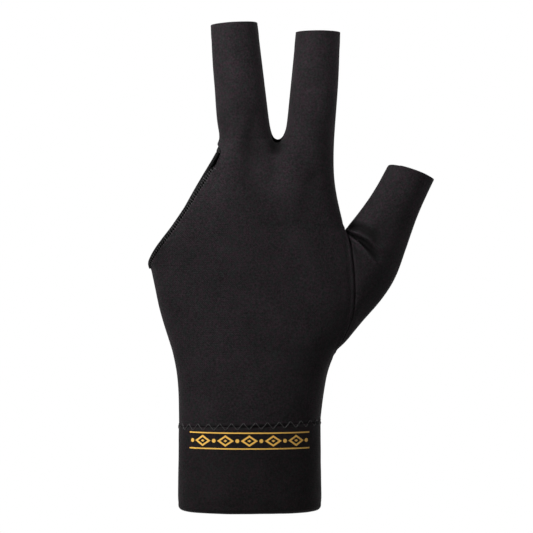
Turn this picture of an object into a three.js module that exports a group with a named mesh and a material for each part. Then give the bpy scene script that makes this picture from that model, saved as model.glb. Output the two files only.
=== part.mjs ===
import * as THREE from 'three';

// Sizes in millimetres. X runs towards the thumb, Y from the back of the hand to the palm and Z from
// the wrist's mouth to the fingertips. The origin is the middle of that mouth.

// Knit and seams
const KNIT_WALL = 1.2;
const SEAM_GAP = 0.3;
const HEM_WIDTH = 1.8;
const HEM_THICKNESS = 2.2;

// Cuff
const WRIST_WIDTH = 62.6;
const WRIST_DEPTH = 40;
const CUFF_HEIGHT = 38;
const CUFF_SLANT = 2;
const CUFF_WALL = 2.2;
const CUFF_FOLD = 0.4;
const CUFF_FLARE = 0.4;

// Hand, from the cuff's seam to the web between the two fingers
const HAND_LENGTH = 125;
const PALM_DEPTH = 29;
const LITTLE_REACH = 43.8;
const MIDDLE_REACH = 14.4;
const INDEX_REACH = 37.4;
const WEB_REACH = 12.3;
const LOBE_LENGTH = 34;

// Slanted opening for the ring and little fingers
const OPENING_START = 68.3;
const OPENING_DROP = 2.4;

// Finger sleeves
const FINGER_DEPTH = 19.4;
const MIDDLE_LENGTH = 50.6;
const MIDDLE_WIDTH = 20.8;
const MIDDLE_SPREAD = 19.2;
const MIDDLE_SLANT = 1.2;
const INDEX_LENGTH = 47;
const INDEX_WIDTH = 19.8;
const INDEX_SPREAD = 17.8;
const MIDDLE_WEB = 2.6;
const INDEX_WEB = 3.2;
const WEB_RISE = 6.4;
const FINGER_CURL = 2.5;

// Thumb sleeve and its oval seam
const THUMB_SEAM_START = 31.5;
const THUMB_SEAM_LENGTH = 53.9;
const NOTCH_REACH = 38.1;
const CROTCH_REACH = 41.9;
const THUMB_SEAM_BOW = 6.2;
const THUMB_OUT = 29.5;
const THUMB_RISE = 25;
const THUMB_WIDTH = 21.5;
const THUMB_DEPTH = 20;
const THUMB_TIP_TURN = 18.4;
const THUMB_LEAN = 8;

// Meshing
const LOBE_COLUMNS = 8;
const ROW_STEP = 8;
const CUFF_SIDES = 40;

// Knit colours and roughness
const KNIT_BLACK = 0x1c1a1c;
const CUFF_BLACK = 0x171517;
const HEM_BLACK = 0x111011;
const KNIT_ROUGHNESS = 0.9;

// The little finger's side of the hand, from the cuff (0) to the opening (1). out goes from the wrist's
// edge (0) to the little finger's corner (1).
const LITTLE_SIDE = [
  { up: 0, out: 0 },
  { up: 0.17, out: 0.01 },
  { up: 0.3, out: 0.05 },
  { up: 0.42, out: 0.17 },
  { up: 0.58, out: 0.44 },
  { up: 0.79, out: 0.77 },
  { up: 1, out: 1 },
];

// The thumb's side of the hand below the thumb, from the wrist's edge to the notch under the thumb.
const THUMB_SIDE = [
  { up: 0, out: 0 },
  { up: 0.37, out: 0.2 },
  { up: 0.6, out: 0.37 },
  { up: 0.82, out: 0.57 },
  { up: 0.93, out: 0.76 },
  { up: 1, out: 1 },
];

// The index finger's side of the hand, from the thumb's crotch to the foot of the index sleeve.
const INDEX_SIDE = [
  { up: 0, out: 0 },
  { up: 0.18, out: 0.42 },
  { up: 0.36, out: 0.76 },
  { up: 0.54, out: 1.02 },
  { up: 0.7, out: 1.07 },
  { up: 1, out: 1 },
];

// Edge of each panel along the slanted opening, from the little finger's corner (0) to the foot of the
// middle sleeve (1). whole is where the hand's side would be if nothing were cut away there.
const OPENING_EDGE = [
  { up: 0, whole: 0, back: 0, palm: 0 },
  { up: 0.1, whole: -0.06, back: 0.09, palm: 0.088 },
  { up: 0.22, whole: -0.06, back: 0.255, palm: 0.25 },
  { up: 0.35, whole: 0.01, back: 0.44, palm: 0.42 },
  { up: 0.48, whole: 0.13, back: 0.6, palm: 0.56 },
  { up: 0.61, whole: 0.3, back: 0.74, palm: 0.69 },
  { up: 0.74, whole: 0.52, back: 0.9, palm: 0.83 },
  { up: 0.87, whole: 0.77, back: 1.05, palm: 0.97 },
  { up: 0.95, whole: 0.93, back: 1.07, palm: 1.04 },
  { up: 1, whole: 1, back: 1, palm: 1 },
];

// Edge of each panel along the thumb's seam, from the notch (0) to the crotch (1), as shares of
// THUMB_SEAM_BOW from the straight line between the two. whole is where the hand's side would be if
// nothing were cut away there.
const THUMB_SEAM = [
  { up: 0, whole: 0, back: 0, palm: 0 },
  { up: 0.09, whole: 0.75, back: 0.36, palm: -0.18 },
  { up: 0.25, whole: 1.65, back: 0.87, palm: -0.55 },
  { up: 0.42, whole: 2.1, back: 1, palm: -0.86 },
  { up: 0.6, whole: 2.05, back: 0.87, palm: -1 },
  { up: 0.8, whole: 1.2, back: 0.56, palm: -0.8 },
  { up: 0.93, whole: 0.47, back: 0.28, palm: -0.36 },
  { up: 1, whole: 0, back: 0, palm: 0 },
];

// Sections of the hand from the cuff (0) to the web (1). wrist and palm are shares of WRIST_DEPTH and
// PALM_DEPTH that add up to half the depth, shift is a share of PALM_DEPTH towards the palm, and square
// is the section's roundness: 2 is an ellipse.
const HAND_SECTIONS = [
  { up: 0, wrist: 0.5, palm: 0, shift: 0, square: 2.2 },
  { up: 0.1, wrist: 0.34, palm: 0.18, shift: 0, square: 2.2 },
  { up: 0.22, wrist: 0.14, palm: 0.39, shift: -0.005, square: 2.3 },
  { up: 0.36, wrist: 0, palm: 0.53, shift: -0.012, square: 2.4 },
  { up: 0.54, wrist: 0, palm: 0.497, shift: -0.03, square: 2.5 },
  { up: 0.78, wrist: 0, palm: 0.455, shift: -0.045, square: 2.5 },
  { up: 1, wrist: 0, palm: 0.4, shift: -0.03, square: 2.3 },
];

// Soft swells of the filled hand. across and wide are shares of LITTLE_REACH, up and tall of
// HAND_LENGTH, and high is a share of the depth there.
const SWELLS = [
  { side: 'palm', across: 0.5, up: 0.36, wide: 0.42, tall: 0.2, high: 0.34 },
  { side: 'palm', across: -0.5, up: 0.3, wide: 0.32, tall: 0.22, high: 0.16 },
  { side: 'palm', across: -0.05, up: 0.55, wide: 0.3, tall: 0.16, high: -0.12 },
  { side: 'back', across: -0.06, up: 0.8, wide: 0.24, tall: 0.09, high: 0.1 },
  { side: 'back', across: 0.52, up: 0.78, wide: 0.22, tall: 0.09, high: 0.09 },
];

// Finger sleeves from the web (0) to the cut end (1). middle and index are how far the outer edge of
// that sleeve has gone from its foot to its end, and deep is half the depth, a share of FINGER_DEPTH.
const FINGER_SECTIONS = [
  { up: 0, middle: 0, index: 0, deep: 0.57 },
  { up: 0.14, middle: 0.05, index: 0.16, deep: 0.545 },
  { up: 0.34, middle: 0.28, index: 0.44, deep: 0.52 },
  { up: 0.55, middle: 0.59, index: 0.72, deep: 0.505 },
  { up: 0.75, middle: 0.82, index: 0.86, deep: 0.5 },
  { up: 1, middle: 1, index: 1, deep: 0.5 },
];

// Rings of the thumb sleeve from its seam (0) to its cut end (1), by their place on the outer edge.
// inner is their place on the crotch edge, bulge how far the outer edge stands off its straight line as
// a share of its length, back and palm the half depths as shares of THUMB_DEPTH, and lean a share of
// THUMB_LEAN.
const THUMB_SECTIONS = [
  { outer: 0, inner: 0, bulge: 0, back: 0.45, palm: 0.7, lean: 0.1 },
  { outer: 0.08, inner: 0.02, bulge: 0.022, back: 0.5, palm: 0.72, lean: 0.14 },
  { outer: 0.17, inner: 0.06, bulge: 0.036, back: 0.54, palm: 0.7, lean: 0.2 },
  { outer: 0.27, inner: 0.12, bulge: 0.057, back: 0.56, palm: 0.66, lean: 0.28 },
  { outer: 0.37, inner: 0.2, bulge: 0.074, back: 0.565, palm: 0.62, lean: 0.38 },
  { outer: 0.47, inner: 0.3, bulge: 0.076, back: 0.56, palm: 0.59, lean: 0.48 },
  { outer: 0.57, inner: 0.42, bulge: 0.061, back: 0.54, palm: 0.56, lean: 0.6 },
  { outer: 0.67, inner: 0.55, bulge: 0.04, back: 0.52, palm: 0.53, lean: 0.7 },
  { outer: 0.78, inner: 0.7, bulge: 0.02, back: 0.5, palm: 0.51, lean: 0.8 },
  { outer: 0.89, inner: 0.85, bulge: 0.008, back: 0.49, palm: 0.495, lean: 0.9 },
  { outer: 1, inner: 1, bulge: 0, back: 0.49, palm: 0.49, lean: 1 },
];
const THUMB_RINGS = [
  0, 0.025, 0.06, 0.1, 0.15, 0.21, 0.27, 0.33,
  0.39, 0.45, 0.52, 0.6, 0.69, 0.79, 0.89, 1,
];

// Folds that fan out of the thumb's crotch. turn is in degrees from the X axis, long and wide are shares
// of THUMB_WIDTH and high is a share of KNIT_WALL.
const FOLDS = [
  { side: 'back', turn: -22, long: 0.75, wide: 0.1, high: 0.5 },
  { side: 'back', turn: -38, long: 0.95, wide: 0.12, high: -1.1 },
  { side: 'back', turn: -55, long: 1.1, wide: 0.13, high: 0.7 },
  { side: 'palm', turn: -40, long: 1, wide: 0.16, high: -0.8 },
];

const mix = (a, b, share) => a + (b - a) * share;
const clamp01 = (value) => Math.min(Math.max(value, 0), 1);
const smoothStep = (value) => clamp01(value) ** 2 * (3 - 2 * clamp01(value));

// A smooth curve through knots of [place, value], with no bend at its two ends.
function splineThrough(knots) {
  const last = knots.length - 1;
  const spans = knots.slice(1).map((knot, i) => knot[0] - knots[i][0]);
  const rises = knots.slice(1).map((knot, i) => (knot[1] - knots[i][1]) / spans[i]);
  const bends = knots.map(() => 0);
  const weights = knots.map(() => 0);
  for (let i = 1; i < last; i += 1) {
    const pivot = 2 * (spans[i - 1] + spans[i]) - spans[i - 1] * weights[i - 1];
    weights[i] = spans[i] / pivot;
    bends[i] = (6 * (rises[i] - rises[i - 1]) - spans[i - 1] * bends[i - 1]) / pivot;
  }
  for (let i = last - 1; i > 0; i -= 1) {
    bends[i] -= weights[i] * bends[i + 1];
  }
  return (place) => {
    const at = Math.min(Math.max(place, knots[0][0]), knots[last][0]);
    const i = Math.min(knots.findLastIndex((knot) => knot[0] <= at), last - 1);
    const after = at - knots[i][0];
    const before = spans[i] - after;
    const straight = (knots[i][1] * before + knots[i + 1][1] * after) / spans[i];
    const bend = (spans[i] + before) * bends[i] + (spans[i] + after) * bends[i + 1];
    return straight - (after * before * bend) / (6 * spans[i]);
  };
}

const curveOf = (table, place, key) => splineThrough(table.map((row) => [row[place], row[key]]));
const wristPart = curveOf(HAND_SECTIONS, 'up', 'wrist');
const palmPart = curveOf(HAND_SECTIONS, 'up', 'palm');
const handShift = curveOf(HAND_SECTIONS, 'up', 'shift');
const handSquare = curveOf(HAND_SECTIONS, 'up', 'square');
const fingerDeep = curveOf(FINGER_SECTIONS, 'up', 'deep');
const openingEdge = {
  back: curveOf(OPENING_EDGE, 'up', 'back'),
  palm: curveOf(OPENING_EDGE, 'up', 'palm'),
};
const thumbSeam = {
  back: curveOf(THUMB_SEAM, 'up', 'back'),
  palm: curveOf(THUMB_SEAM, 'up', 'palm'),
};
const sideSign = { back: -1, palm: 1 };

const openingEnd = HAND_LENGTH - OPENING_DROP;
const openingLength = openingEnd - OPENING_START;
const crotchUp = THUMB_SEAM_START + THUMB_SEAM_LENGTH;
const FINGER_SQUARE = 2.1;

const middleSleeve = {
  length: MIDDLE_LENGTH,
  width: MIDDLE_WIDTH,
  end: WEB_REACH - MIDDLE_SPREAD,
  slant: MIDDLE_SLANT,
  web: MIDDLE_WEB,
  toOuter: -1,
  foot: -MIDDLE_REACH,
};
const indexSleeve = {
  length: INDEX_LENGTH,
  width: INDEX_WIDTH,
  end: WEB_REACH + INDEX_SPREAD,
  slant: 0,
  web: INDEX_WEB,
  toOuter: 1,
  foot: INDEX_REACH,
};
const outerEnd = (sleeve) => sleeve.end + (sleeve.toOuter * sleeve.width) / 2;

// The sides of the whole hand, each one smooth line from the cuff to the end of its finger sleeve.
const stretch = (table, key, start, length, from, to) => table.slice(1).map((row) => [
  start + row.up * length,
  mix(from, to, row[key]),
]);
const seamLine = (along) => mix(NOTCH_REACH, CROTCH_REACH, along);
const wholeLeft = splineThrough([
  [0, -WRIST_WIDTH / 2],
  ...stretch(LITTLE_SIDE, 'out', 0, OPENING_START, -WRIST_WIDTH / 2, -LITTLE_REACH),
  ...stretch(OPENING_EDGE, 'whole', OPENING_START, openingLength, -LITTLE_REACH, -MIDDLE_REACH),
  ...stretch(FINGER_SECTIONS, 'middle', HAND_LENGTH, MIDDLE_LENGTH, -MIDDLE_REACH, outerEnd(middleSleeve)),
]);
const wholeRight = splineThrough([
  [0, WRIST_WIDTH / 2],
  ...stretch(THUMB_SIDE, 'out', 0, THUMB_SEAM_START, WRIST_WIDTH / 2, NOTCH_REACH),
  ...THUMB_SEAM.slice(1).map((row) => [
    THUMB_SEAM_START + row.up * THUMB_SEAM_LENGTH,
    seamLine(row.up) + THUMB_SEAM_BOW * row.whole,
  ]),
  ...stretch(INDEX_SIDE, 'out', crotchUp, HAND_LENGTH - crotchUp, CROTCH_REACH, INDEX_REACH),
  ...stretch(FINGER_SECTIONS, 'index', HAND_LENGTH, INDEX_LENGTH, INDEX_REACH, outerEnd(indexSleeve)),
]);

// The edges of one panel: the whole hand's sides, except where the opening or the thumb's seam cuts
// the panel back from them.
function leftEdge(side, up) {
  if (up <= OPENING_START || up >= openingEnd) return wholeLeft(up);
  const along = openingEdge[side]((up - OPENING_START) / openingLength);
  return mix(-LITTLE_REACH, -MIDDLE_REACH, along);
}

function rightEdge(side, up) {
  if (up <= THUMB_SEAM_START || up >= crotchUp) return wholeRight(up);
  const along = (up - THUMB_SEAM_START) / THUMB_SEAM_LENGTH;
  return seamLine(along) + THUMB_SEAM_BOW * thumbSeam[side](along);
}

// Height of a rounded edge, from the edge (0) to the crown (1).
const rounded = (share, square) => (1 - (1 - clamp01(share)) ** square) ** (1 / square);

function swell(side, x, up) {
  return SWELLS.filter((row) => row.side === side).reduce((sum, row) => {
    const across = (x / LITTLE_REACH - row.across) / row.wide;
    const along = (up / HAND_LENGTH - row.up) / row.tall;
    return sum + row.high * Math.exp(-(across ** 2) - along ** 2);
  }, 1);
}

// The seam with the cuff climbs towards the thumb's side. The hand's rows level out up to the notch.
const cuffRise = (x) => (CUFF_SLANT * x) / WRIST_WIDTH;
const handFoot = CUFF_HEIGHT + SEAM_GAP;

// The edge of the web: down the inside of the middle sleeve and up the inside of the index sleeve.
const WEB_STEPS = 100;
const innerEnd = (sleeve) => Math.abs(sleeve.end - WEB_REACH) - sleeve.width / 2;
const webReach = (sleeve, rise) => (
  sleeve.web * rounded(rise / WEB_RISE, 2) + ((innerEnd(sleeve) - sleeve.web) * rise) / sleeve.length
);
const innerSide = (sleeve, rise) => WEB_REACH + sleeve.toOuter * webReach(sleeve, rise);
const webSide = (sleeve) => [
  ...Array.from({ length: WEB_STEPS + 1 }, (_, i) => (i * WEB_RISE) / WEB_STEPS),
  sleeve.length,
].map((rise) => new THREE.Vector3(innerSide(sleeve, rise), HAND_LENGTH + rise, 0));
const webEdge = [...webSide(middleSleeve).reverse(), ...webSide(indexSleeve).slice(1)];
const webLines = webEdge.slice(1).map((point, i) => new THREE.Line3(webEdge[i], point));

function webDistance(x, up) {
  const spot = new THREE.Vector3(x, up, 0);
  const nearest = new THREE.Vector3();
  return Math.min(...webLines.map((line) => line.closestPointToPoint(spot, true, nearest).distanceTo(spot)));
}

// The hand's section turns into those of the two sleeves towards the web, and rolls round the web's edge.
function handPoint(side, up, lobe, share) {
  const middle = mix(0, WEB_REACH, smoothStep(up / HAND_LENGTH));
  const x = lobe === 0 ? mix(leftEdge(side, up), middle, share) : mix(middle, rightEdge(side, up), share);
  const along = up / HAND_LENGTH;
  const left = wholeLeft(up);
  const right = wholeRight(up);
  const handHalf = wristPart(along) * WRIST_DEPTH + palmPart(along) * PALM_DEPTH;
  const handShare = (2 * Math.min(x - left, right - x)) / (right - left);
  const footWidth = lobe === 0 ? middle - left : right - middle;
  const footShare = (2 * Math.min(x - left, right - x)) / footWidth;
  const depth = mix(
    handHalf * rounded(handShare, handSquare(along)),
    fingerDeep(0) * FINGER_DEPTH * rounded(footShare, FINGER_SQUARE),
    smoothStep(1 - (HAND_LENGTH - up) / LOBE_LENGTH),
  ) * rounded((2 * webDistance(x, up)) / footWidth, FINGER_SQUARE) * swell(side, x, up);
  return new THREE.Vector3(
    x,
    handShift(along) * PALM_DEPTH + sideSign[side] * (SEAM_GAP / 2 + depth),
    handFoot + up + cuffRise(x) * (1 - smoothStep(up / THUMB_SEAM_START)),
  );
}

function fingerPoint(side, sleeve, rise, share) {
  const along = rise / sleeve.length;
  const up = HAND_LENGTH + rise;
  const outer = sleeve.toOuter < 0 ? wholeLeft(up) : wholeRight(up);
  const inner = innerSide(sleeve, rise);
  const left = Math.min(outer, inner);
  const right = Math.max(outer, inner);
  const x = mix(left, right, share);
  const edgeShare = (2 * Math.min(Math.abs(x - outer), webDistance(x, up))) / (right - left);
  const depth = fingerDeep(along) * FINGER_DEPTH * rounded(edgeShare, FINGER_SQUARE);
  const shift = handShift(1) * PALM_DEPTH + FINGER_CURL * along ** 2;
  const slant = ((sleeve.slant * (x - sleeve.end)) / sleeve.width) * along;
  return new THREE.Vector3(x, shift + sideSign[side] * (SEAM_GAP / 2 + depth), handFoot + up + slant);
}

// Heights of the rows of the hand: closer where a seam's loop starts or ends, and at the crotch's folds.
const NEAR_START = [0, 0.7, 2.6];
const NEAR_END = [2.6, 0.7, 0];
const NEAR_CROTCH = [11, 7.5, 5, 3.2, 1.8, 0.7, 0];
const NEAR_WEB = [0, 0.06, 0.25, 0.56, 1];
const BELOW_WEB = [8, 5.2, 1.1, 0.3, 0];

function filled(heights) {
  const sorted = [...heights].sort((a, b) => a - b);
  return sorted.flatMap((height, i) => {
    if (i === 0) return [height];
    const gap = height - sorted[i - 1];
    const steps = Math.max(1, Math.round(gap / ROW_STEP));
    return Array.from({ length: steps }, (_, k) => sorted[i - 1] + (gap * (k + 1)) / steps);
  });
}

const handRows = filled([
  0,
  ...NEAR_START.map((step) => THUMB_SEAM_START + step),
  ...NEAR_CROTCH.map((step) => crotchUp - step),
  ...NEAR_START.map((step) => OPENING_START + step),
  ...NEAR_END.map((step) => openingEnd - step),
  ...BELOW_WEB.map((step) => HAND_LENGTH - step),
]);
const fingerRows = (length) => filled([...NEAR_WEB.map((share) => share * WEB_RISE), length]).slice(1);
const columns = Array.from(
  { length: LOBE_COLUMNS + 1 },
  (_, i) => (1 - Math.cos((Math.PI * i) / LOBE_COLUMNS)) / 2,
);

// Corner normals of an open sheet of quads. Those on a seam stay in the seam's plane.
function sheetNormals(points, quads, onSeam) {
  const normals = points.map(() => new THREE.Vector3());
  for (const [a, b, c, d] of quads) {
    const first = points[c].clone().sub(points[a]);
    const second = points[d].clone().sub(points[b]);
    const normal = first.cross(second);
    for (const corner of [a, b, c, d]) {
      normals[corner].add(normal);
    }
  }
  return normals.map((normal, i) => {
    if (onSeam.has(i)) normal.y = 0;
    return normal.normalize();
  });
}

// Closes an outer sheet and its inner copy into one wall, with a strip along every free edge.
function wallFaces(count, quads) {
  const used = new Set(quads.flatMap((quad) => quad.map((corner, i) => `${corner}>${quad[(i + 1) % 4]}`)));
  const faces = [];
  for (const quad of quads) {
    faces.push(quad, quad.map((corner) => corner + count).reverse());
    quad.forEach((corner, i) => {
      const next = quad[(i + 1) % 4];
      if (!used.has(`${next}>${corner}`)) faces.push([next, corner, corner + count, next + count]);
    });
  }
  return faces;
}

function meshOf(name, points, quads, colour) {
  const index = quads.flatMap(([a, b, c, d]) => [a, b, c, a, c, d]);
  const corners = index.map((i) => points[i]);
  let volume = 0;
  for (let i = 0; i < corners.length; i += 3) {
    volume += corners[i].dot(corners[i + 1].clone().cross(corners[i + 2]));
  }
  const facing = volume > 0 ? index : index.reverse();
  const geometry = new THREE.BufferGeometry().setFromPoints(points);
  geometry.setIndex(facing);
  geometry.computeVertexNormals();
  const material = new THREE.MeshStandardMaterial({ color: colour, roughness: KNIT_ROUGHNESS });
  const mesh = new THREE.Mesh(geometry, material);
  mesh.name = name;
  return mesh;
}

// One knit panel of the hand with its halves of the finger sleeves.
function makePanel(side) {
  const points = [];
  const quads = [];
  const onSeam = new Set();
  const add = (point) => points.push(point) - 1;
  const last = 2 * LOBE_COLUMNS;

  const handIds = handRows.map((up) => [
    ...columns.map((share) => add(handPoint(side, up, 0, share))),
    ...columns.slice(1).map((share) => add(handPoint(side, up, 1, share))),
  ]);
  handRows.forEach((up, i) => {
    if (up <= OPENING_START || up >= openingEnd) onSeam.add(handIds[i][0]);
    if (up <= THUMB_SEAM_START || up >= crotchUp) onSeam.add(handIds[i][last]);
  });
  const webRow = handIds[handIds.length - 1];
  onSeam.add(webRow[LOBE_COLUMNS]);

  const sleeveIds = (sleeve, foot) => [
    foot,
    ...fingerRows(sleeve.length).map((rise) => {
      const row = columns.map((share) => add(fingerPoint(side, sleeve, rise, share)));
      onSeam.add(row[0]).add(row[LOBE_COLUMNS]);
      return row;
    }),
  ];
  const patches = [
    handIds,
    sleeveIds(middleSleeve, webRow.slice(0, LOBE_COLUMNS + 1)),
    sleeveIds(indexSleeve, webRow.slice(LOBE_COLUMNS)),
  ];
  for (const rows of patches) {
    rows.slice(1).forEach((upper, i) => {
      const lower = rows[i];
      upper.slice(1).forEach((_, j) => {
        const quad = [lower[j], lower[j + 1], upper[j + 1], upper[j]];
        quads.push(side === 'back' ? quad : quad.reverse());
      });
    });
  }

  const normals = sheetNormals(points, quads, onSeam);
  const inner = points.map((point, i) => point.clone().addScaledVector(normals[i], -KNIT_WALL));
  const inside = points.map(() => new THREE.Vector3());
  for (const quad of quads) {
    for (const corner of quad) {
      quad.forEach((other) => inside[corner].add(points[other]).sub(points[corner]));
    }
  }
  const edgeOf = (column, start, end) => handRows
    .map((up, i) => [up, handIds[i][column]])
    .filter(([up]) => up >= start && up <= end)
    .map(([, i]) => ({ side, outer: points[i], inner: inner[i], inside: inside[i] }));
  return {
    mesh: meshOf(`${side}_panel`, [...points, ...inner], wallFaces(points.length, quads), KNIT_BLACK),
    openingEdge: edgeOf(0, OPENING_START, openingEnd),
    thumbEdge: edgeOf(last, THUMB_SEAM_START, crotchUp),
  };
}

// Joins one edge of the back panel and the same edge of the palm panel into a loop. away points off the
// panels, along their surface.
function seamLoop(back, palm) {
  const end = back.length - 1;
  const joined = (i, beside) => ({
    side: 'seam',
    outer: back[i].outer.clone().lerp(palm[i].outer, 0.5),
    inner: back[i].inner.clone().lerp(palm[i].inner, 0.5),
    inside: back[beside].inside.clone().add(palm[beside].inside),
  });
  const loop = [joined(0, 1), ...back.slice(1, end), joined(end, end - 1), ...palm.slice(1, end).reverse()];
  return loop.map((entry, i) => {
    const before = loop[(i + loop.length - 1) % loop.length];
    const after = loop[(i + 1) % loop.length];
    const along = after.outer.clone().sub(before.outer).normalize();
    const out = entry.outer.clone().sub(entry.inner).normalize();
    const away = along.cross(out).normalize();
    if (away.dot(entry.inside) > 0) away.negate();
    return { ...entry, out, away };
  });
}

// Thumb sleeve: rings from the oval seam to the cut end, with folds fanning out of the crotch.
function makeThumb(loop) {
  const notch = loop[0].outer;
  const crotch = loop[loop.length / 2].outer;
  const turn = THREE.MathUtils.degToRad(THUMB_TIP_TURN);
  const tip = new THREE.Vector3(crotch.x + THUMB_OUT, 0, crotch.z + THUMB_RISE);
  const across = new THREE.Vector3(Math.cos(turn), 0, -Math.sin(turn)).multiplyScalar(THUMB_WIDTH / 2);
  const innerTip = tip.clone().sub(across);
  const outerTip = tip.clone().add(across);
  const flat = (point) => new THREE.Vector3(point.x, 0, point.z);
  const seat = (notch.y + crotch.y) / 2;
  const lengthwise = tip.clone().sub(flat(notch).lerp(flat(crotch), 0.5));
  const leanTangent = THUMB_LEAN / lengthwise.length();
  lengthwise.normalize();

  const columnOf = (key) => curveOf(THUMB_SECTIONS, 'outer', key);
  const innerShare = columnOf('inner');
  const bulge = columnOf('bulge');
  const half = { back: columnOf('back'), palm: columnOf('palm'), seam: () => 0 };
  const lean = columnOf('lean');
  const direction = { back: -1, palm: 1, seam: 0 };

  const offLine = (from, to, share, off) => {
    const line = to.clone().sub(from);
    const side = new THREE.Vector3(line.z, 0, -line.x);
    return from.clone().addScaledVector(line, share).addScaledVector(side, off);
  };
  const INNER_BOW = 0.036;
  const plainPoint = (entry, ring) => {
    const inner = innerShare(ring);
    const left = offLine(flat(crotch), innerTip, inner, INNER_BOW * Math.sin(Math.PI * inner));
    const right = offLine(flat(notch), outerTip, ring, bulge(ring));
    const share = clamp01((crotch.z - entry.outer.z) / (crotch.z - notch.z));
    const round = 2 * Math.sqrt(share * (1 - share));
    const depth = direction[entry.side] * half[entry.side](ring) * THUMB_DEPTH * round;
    const point = left.lerp(right, share);
    point.y = seat + (lean(ring) - lean(0)) * THUMB_LEAN + depth;
    return point.addScaledVector(lengthwise, -depth * leanTangent * ring);
  };
  const SEAM_REACH = 0.45;
  const FOLD_RISE = 0.2;
  const FOLD_FADE = 0.6;
  const seamHold = (ring) => clamp01(1 - ring / SEAM_REACH) ** 2;
  const fold = (entry, ring, point) => {
    const x = point.x - crotch.x;
    const z = point.z - crotch.z;
    const angle = Math.atan2(z, x);
    const reach = Math.hypot(x, z);
    return FOLDS.filter((row) => row.side === entry.side).reduce((sum, row) => {
      const off = reach * Math.sin(angle - THREE.MathUtils.degToRad(row.turn)) / (row.wide * THUMB_WIDTH);
      const gone = reach / (row.long * THUMB_WIDTH);
      const fade = smoothStep(gone / FOLD_RISE) * smoothStep((1 - gone) / FOLD_FADE);
      return sum + row.high * KNIT_WALL * Math.exp(-(off ** 2)) * fade;
    }, 0) * (1 - seamHold(ring));
  };

  const rows = THUMB_RINGS.map((ring) => loop.map((entry) => {
    const sewn = entry.outer.clone().addScaledVector(entry.away, SEAM_GAP);
    const point = plainPoint(entry, ring);
    point.addScaledVector(sewn.sub(plainPoint(entry, 0)), seamHold(ring));
    point.y += direction[entry.side] * fold(entry, ring, point);
    return point;
  }));
  const around = loop.length;
  const points = rows.flat();
  const quads = rows.slice(1).flatMap((_, i) => loop.map((__, j) => {
    const next = (j + 1) % around;
    return [i * around + j, i * around + next, (i + 1) * around + next, (i + 1) * around + j];
  }));
  const normals = sheetNormals(points, quads, new Set());
  const tipRing = rows[rows.length - 1];
  const acrossTip = tipRing[0].clone().sub(tipRing[around / 2]);
  const facing = Math.sign(acrossTip.dot(normals[points.length - around]));
  const inner = points.map((point, i) => point.clone().addScaledVector(normals[i], -facing * KNIT_WALL));
  loop.forEach((entry, j) => {
    inner[j] = entry.inner.clone().addScaledVector(entry.away, SEAM_GAP);
  });
  return meshOf('thumb_sleeve', [...points, ...inner], wallFaces(points.length, quads), KNIT_BLACK);
}

// A closed band: one section swept round a closed loop of frames.
function makeBand(name, sections, colour) {
  const around = sections.length;
  const corners = sections[0].length;
  const quads = sections.flatMap((_, j) => sections[0].map((__, i) => {
    const next = (j + 1) % around;
    const up = (i + 1) % corners;
    return [j * corners + i, next * corners + i, next * corners + up, j * corners + up];
  }));
  return meshOf(name, sections.flat(), quads, colour);
}

// Hem: a narrow fold that goes on from the panels' edges, a little thicker than they are.
const HEM_CHAMFER = 0.3;

function makeHem(loop) {
  const proud = (HEM_THICKNESS - KNIT_WALL) / 2;
  const cut = HEM_CHAMFER * HEM_WIDTH;
  const near = SEAM_GAP;
  const far = SEAM_GAP + HEM_WIDTH;
  const top = proud;
  const bottom = -KNIT_WALL - proud;
  const outline = [
    [near, bottom + cut],
    [near, top - cut],
    [near + cut, top],
    [far - cut, top],
    [far, top - cut],
    [far, bottom + cut],
    [far - cut, bottom],
    [near + cut, bottom],
  ];
  const sections = loop.map((entry) => outline.map(([away, out]) => entry.outer
    .clone()
    .addScaledVector(entry.away, away)
    .addScaledVector(entry.out, out)));
  return makeBand('finger_opening_hem', sections, HEM_BLACK);
}

// Cuff: two layers of knit, folded at the lower edge, which curls inwards.
const CURL_STEPS = 3;
const CUFF_MIDDLE = 0.55;
const ANGLE_STEP = 0.02;

function makeCuff() {
  const curl = CUFF_FOLD + CUFF_WALL;
  const arc = (radius) => Array.from({ length: CURL_STEPS + 1 }, (_, i) => {
    const angle = ((Math.PI / 2) * i) / CURL_STEPS;
    return { inset: curl - radius * Math.cos(angle), height: curl - radius * Math.sin(angle) };
  });
  const layers = [
    { inset: 0, share: 1 },
    { inset: 0, share: CUFF_MIDDLE },
    ...arc(curl),
    { inset: curl + CUFF_WALL / 2, height: CUFF_WALL / 2 },
    ...arc(CUFF_FOLD).reverse(),
    { inset: CUFF_WALL, share: CUFF_MIDDLE },
    { inset: CUFF_WALL, share: 1 },
  ];
  const rounding = 2 / handSquare(0);
  const outlineAt = (angle, grow) => {
    const cos = Math.cos(angle);
    const sin = Math.sin(angle);
    return new THREE.Vector3(
      Math.sign(cos) * Math.abs(cos) ** rounding * (WRIST_WIDTH / 2 + grow),
      Math.sign(sin) * Math.abs(sin) ** rounding * (WRIST_DEPTH / 2 + grow),
      0,
    );
  };
  const sections = Array.from({ length: CUFF_SIDES }, (_, j) => {
    const angle = (2 * Math.PI * (j + 0.5)) / CUFF_SIDES;
    return layers.map(({ inset, share, height }) => {
      const z = height ?? share * (CUFF_HEIGHT + cuffRise(outlineAt(angle, 0).x));
      const flare = CUFF_FLARE * smoothStep(1 - z / CUFF_HEIGHT);
      const point = outlineAt(angle, flare);
      const next = outlineAt(angle + ANGLE_STEP, flare);
      const along = next.sub(outlineAt(angle - ANGLE_STEP, flare)).normalize();
      return new THREE.Vector3(point.x - along.y * inset, point.y + along.x * inset, z);
    });
  });
  return makeBand('wrist_cuff', sections, CUFF_BLACK);
}

const back = makePanel('back');
const palm = makePanel('palm');
const openingLoop = seamLoop(back.openingEdge, palm.openingEdge);
const thumbLoop = seamLoop(back.thumbEdge, palm.thumbEdge);

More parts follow.
